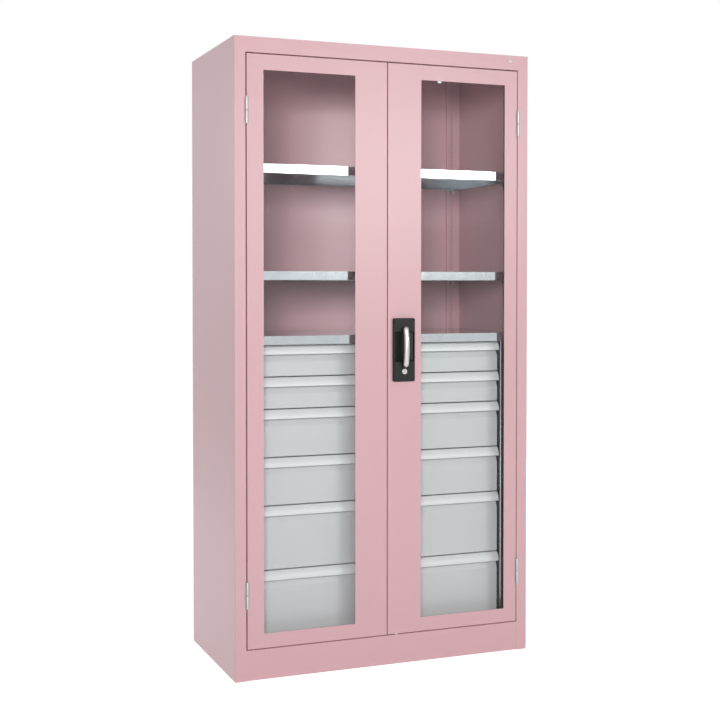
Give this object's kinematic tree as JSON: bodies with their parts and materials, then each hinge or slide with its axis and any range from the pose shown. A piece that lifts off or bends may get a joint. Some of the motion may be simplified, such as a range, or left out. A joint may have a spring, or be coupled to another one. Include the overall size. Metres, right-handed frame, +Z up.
{
  "type": "storage cabinet",
  "caption": "Tall steel cabinet with windowed doors, a lever lock with bolts, shelves above and full-width drawers below.",
  "frame": {"origin": "on the floor, under the centre of the overall box, which runs from the front of the lever to the back", "axes": "+Z up, -Y towards the person in front of the doors, +X to that person's right"},
  "size_m": [1, 0.54, 1.952],
  "materials": {
    "carcass_paint": "satin powder coat, pale pink",
    "galvanised_steel": "galvanised sheet",
    "drawer_paint": "satin powder coat, light grey",
    "grip_rail": "satin, light grey",
    "clear_pane": "clear",
    "white_plastic": "moulded",
    "black_plastic": "moulded, fine grain",
    "satin_metal": "satin nickel look",
    "zinc_steel": "zinc plated"
  },
  "bodies": {
    "cabinet": {"side_panel_left": "carcass_paint", "side_panel_right": "carcass_paint", "back_panel": "carcass_paint", "top_panel": "carcass_paint", "top_rail": "carcass_paint", "plinth": "carcass_paint", "floor_panel": "carcass_paint", "uprights_front": "galvanised_steel", "uprights_rear": "carcass_paint", "levelling_feet": "black_plastic", "shelf_upper": "galvanised_steel", "shelf_lower": "galvanised_steel", "shelf_clips": "galvanised_steel", "drawer_cover": "galvanised_steel", "housing_left": "galvanised_steel", "housing_right": "galvanised_steel", "housing_rails": "galvanised_steel", "hinge_post_halves": "zinc_steel", "hinge_pins": "zinc_steel"},
    "door_left": {"door_left_skin": "carcass_paint", "door_left_pane": "clear_pane", "door_left_pane_clips": "white_plastic", "door_left_hinge_halves": "zinc_steel"},
    "door_right": {"door_right_skin": "carcass_paint", "door_right_pane": "clear_pane", "door_right_pane_clips": "white_plastic", "door_right_hinge_halves": "zinc_steel", "handle_plate": "black_plastic", "lock_barrel": "satin_metal", "bolt_guides": "zinc_steel"},
    "lever": {"handle_lever": "satin_metal", "lever_pinion": "zinc_steel"},
    "key_plug": {"lock_plug": "satin_metal"},
    "upper_bolt": {"bolt_upper": "zinc_steel"},
    "lower_bolt": {"bolt_lower": "zinc_steel"},
    "drawer_1": {"drawer_1_front": "drawer_paint", "drawer_1_grip": "grip_rail", "drawer_1_tray": "drawer_paint", "drawer_1_runners": "galvanised_steel"},
    "drawer_2": {"drawer_2_front": "drawer_paint", "drawer_2_grip": "grip_rail", "drawer_2_tray": "drawer_paint", "drawer_2_runners": "galvanised_steel"},
    "drawer_3": {"drawer_3_front": "drawer_paint", "drawer_3_grip": "grip_rail", "drawer_3_tray": "drawer_paint", "drawer_3_runners": "galvanised_steel"},
    "drawer_4": {"drawer_4_front": "drawer_paint", "drawer_4_grip": "grip_rail", "drawer_4_tray": "drawer_paint", "drawer_4_runners": "galvanised_steel"},
    "drawer_5": {"drawer_5_front": "drawer_paint", "drawer_5_grip": "grip_rail", "drawer_5_tray": "drawer_paint", "drawer_5_runners": "galvanised_steel"},
    "drawer_6": {"drawer_6_front": "drawer_paint", "drawer_6_grip": "grip_rail", "drawer_6_tray": "drawer_paint", "drawer_6_runners": "galvanised_steel"}
  },
  "joints": [
    {"name": "door_left_swing", "type": "hinge", "parent": "cabinet", "child": "door_left", "pos_m": [-0.462, -0.2346, 1], "axis": [0, 0, -1], "range_deg": [0, 110]},
    {"name": "door_right_swing", "type": "hinge", "parent": "cabinet", "child": "door_right", "pos_m": [0.462, -0.2346, 1], "axis": [0, 0, 1], "range_deg": [0, 110]},
    {"name": "lever_turn", "type": "hinge", "parent": "door_right", "child": "lever", "pos_m": [0.053, -0.244, 1.065], "axis": [0, -1, 0], "range_deg": [0, 90]},
    {"name": "key_turn", "type": "hinge", "parent": "door_right", "child": "key_plug", "pos_m": [0.053, -0.244, 0.9315], "axis": [0, -1, 0], "range_deg": [0, 90]},
    {"name": "bolt_upper_slide", "type": "slide", "parent": "door_right", "child": "upper_bolt", "axis": [0, 0, 1], "range_m": [0, 0.018]},
    {"name": "bolt_lower_slide", "type": "slide", "parent": "door_right", "child": "lower_bolt", "axis": [0, 0, -1], "range_m": [0, 0.018]},
    {"name": "drawer_1_slide", "type": "slide", "parent": "cabinet", "child": "drawer_1", "axis": [0, -1, 0], "range_m": [0, 0.025]},
    {"name": "drawer_2_slide", "type": "slide", "parent": "cabinet", "child": "drawer_2", "axis": [0, -1, 0], "range_m": [0, 0.025]},
    {"name": "drawer_3_slide", "type": "slide", "parent": "cabinet", "child": "drawer_3", "axis": [0, -1, 0], "range_m": [0, 0.025]},
    {"name": "drawer_4_slide", "type": "slide", "parent": "cabinet", "child": "drawer_4", "axis": [0, -1, 0], "range_m": [0, 0.025]},
    {"name": "drawer_5_slide", "type": "slide", "parent": "cabinet", "child": "drawer_5", "axis": [0, -1, 0], "range_m": [0, 0.025]},
    {"name": "drawer_6_slide", "type": "slide", "parent": "cabinet", "child": "drawer_6", "axis": [0, -1, 0], "range_m": [0, 0.025]}
  ],
  "couplings": [
    {"joint": "bolt_upper_slide", "follows": "lever_turn", "m_per_rad": 0.01145},
    {"joint": "bolt_lower_slide", "follows": "lever_turn", "m_per_rad": 0.01145}
  ]
}
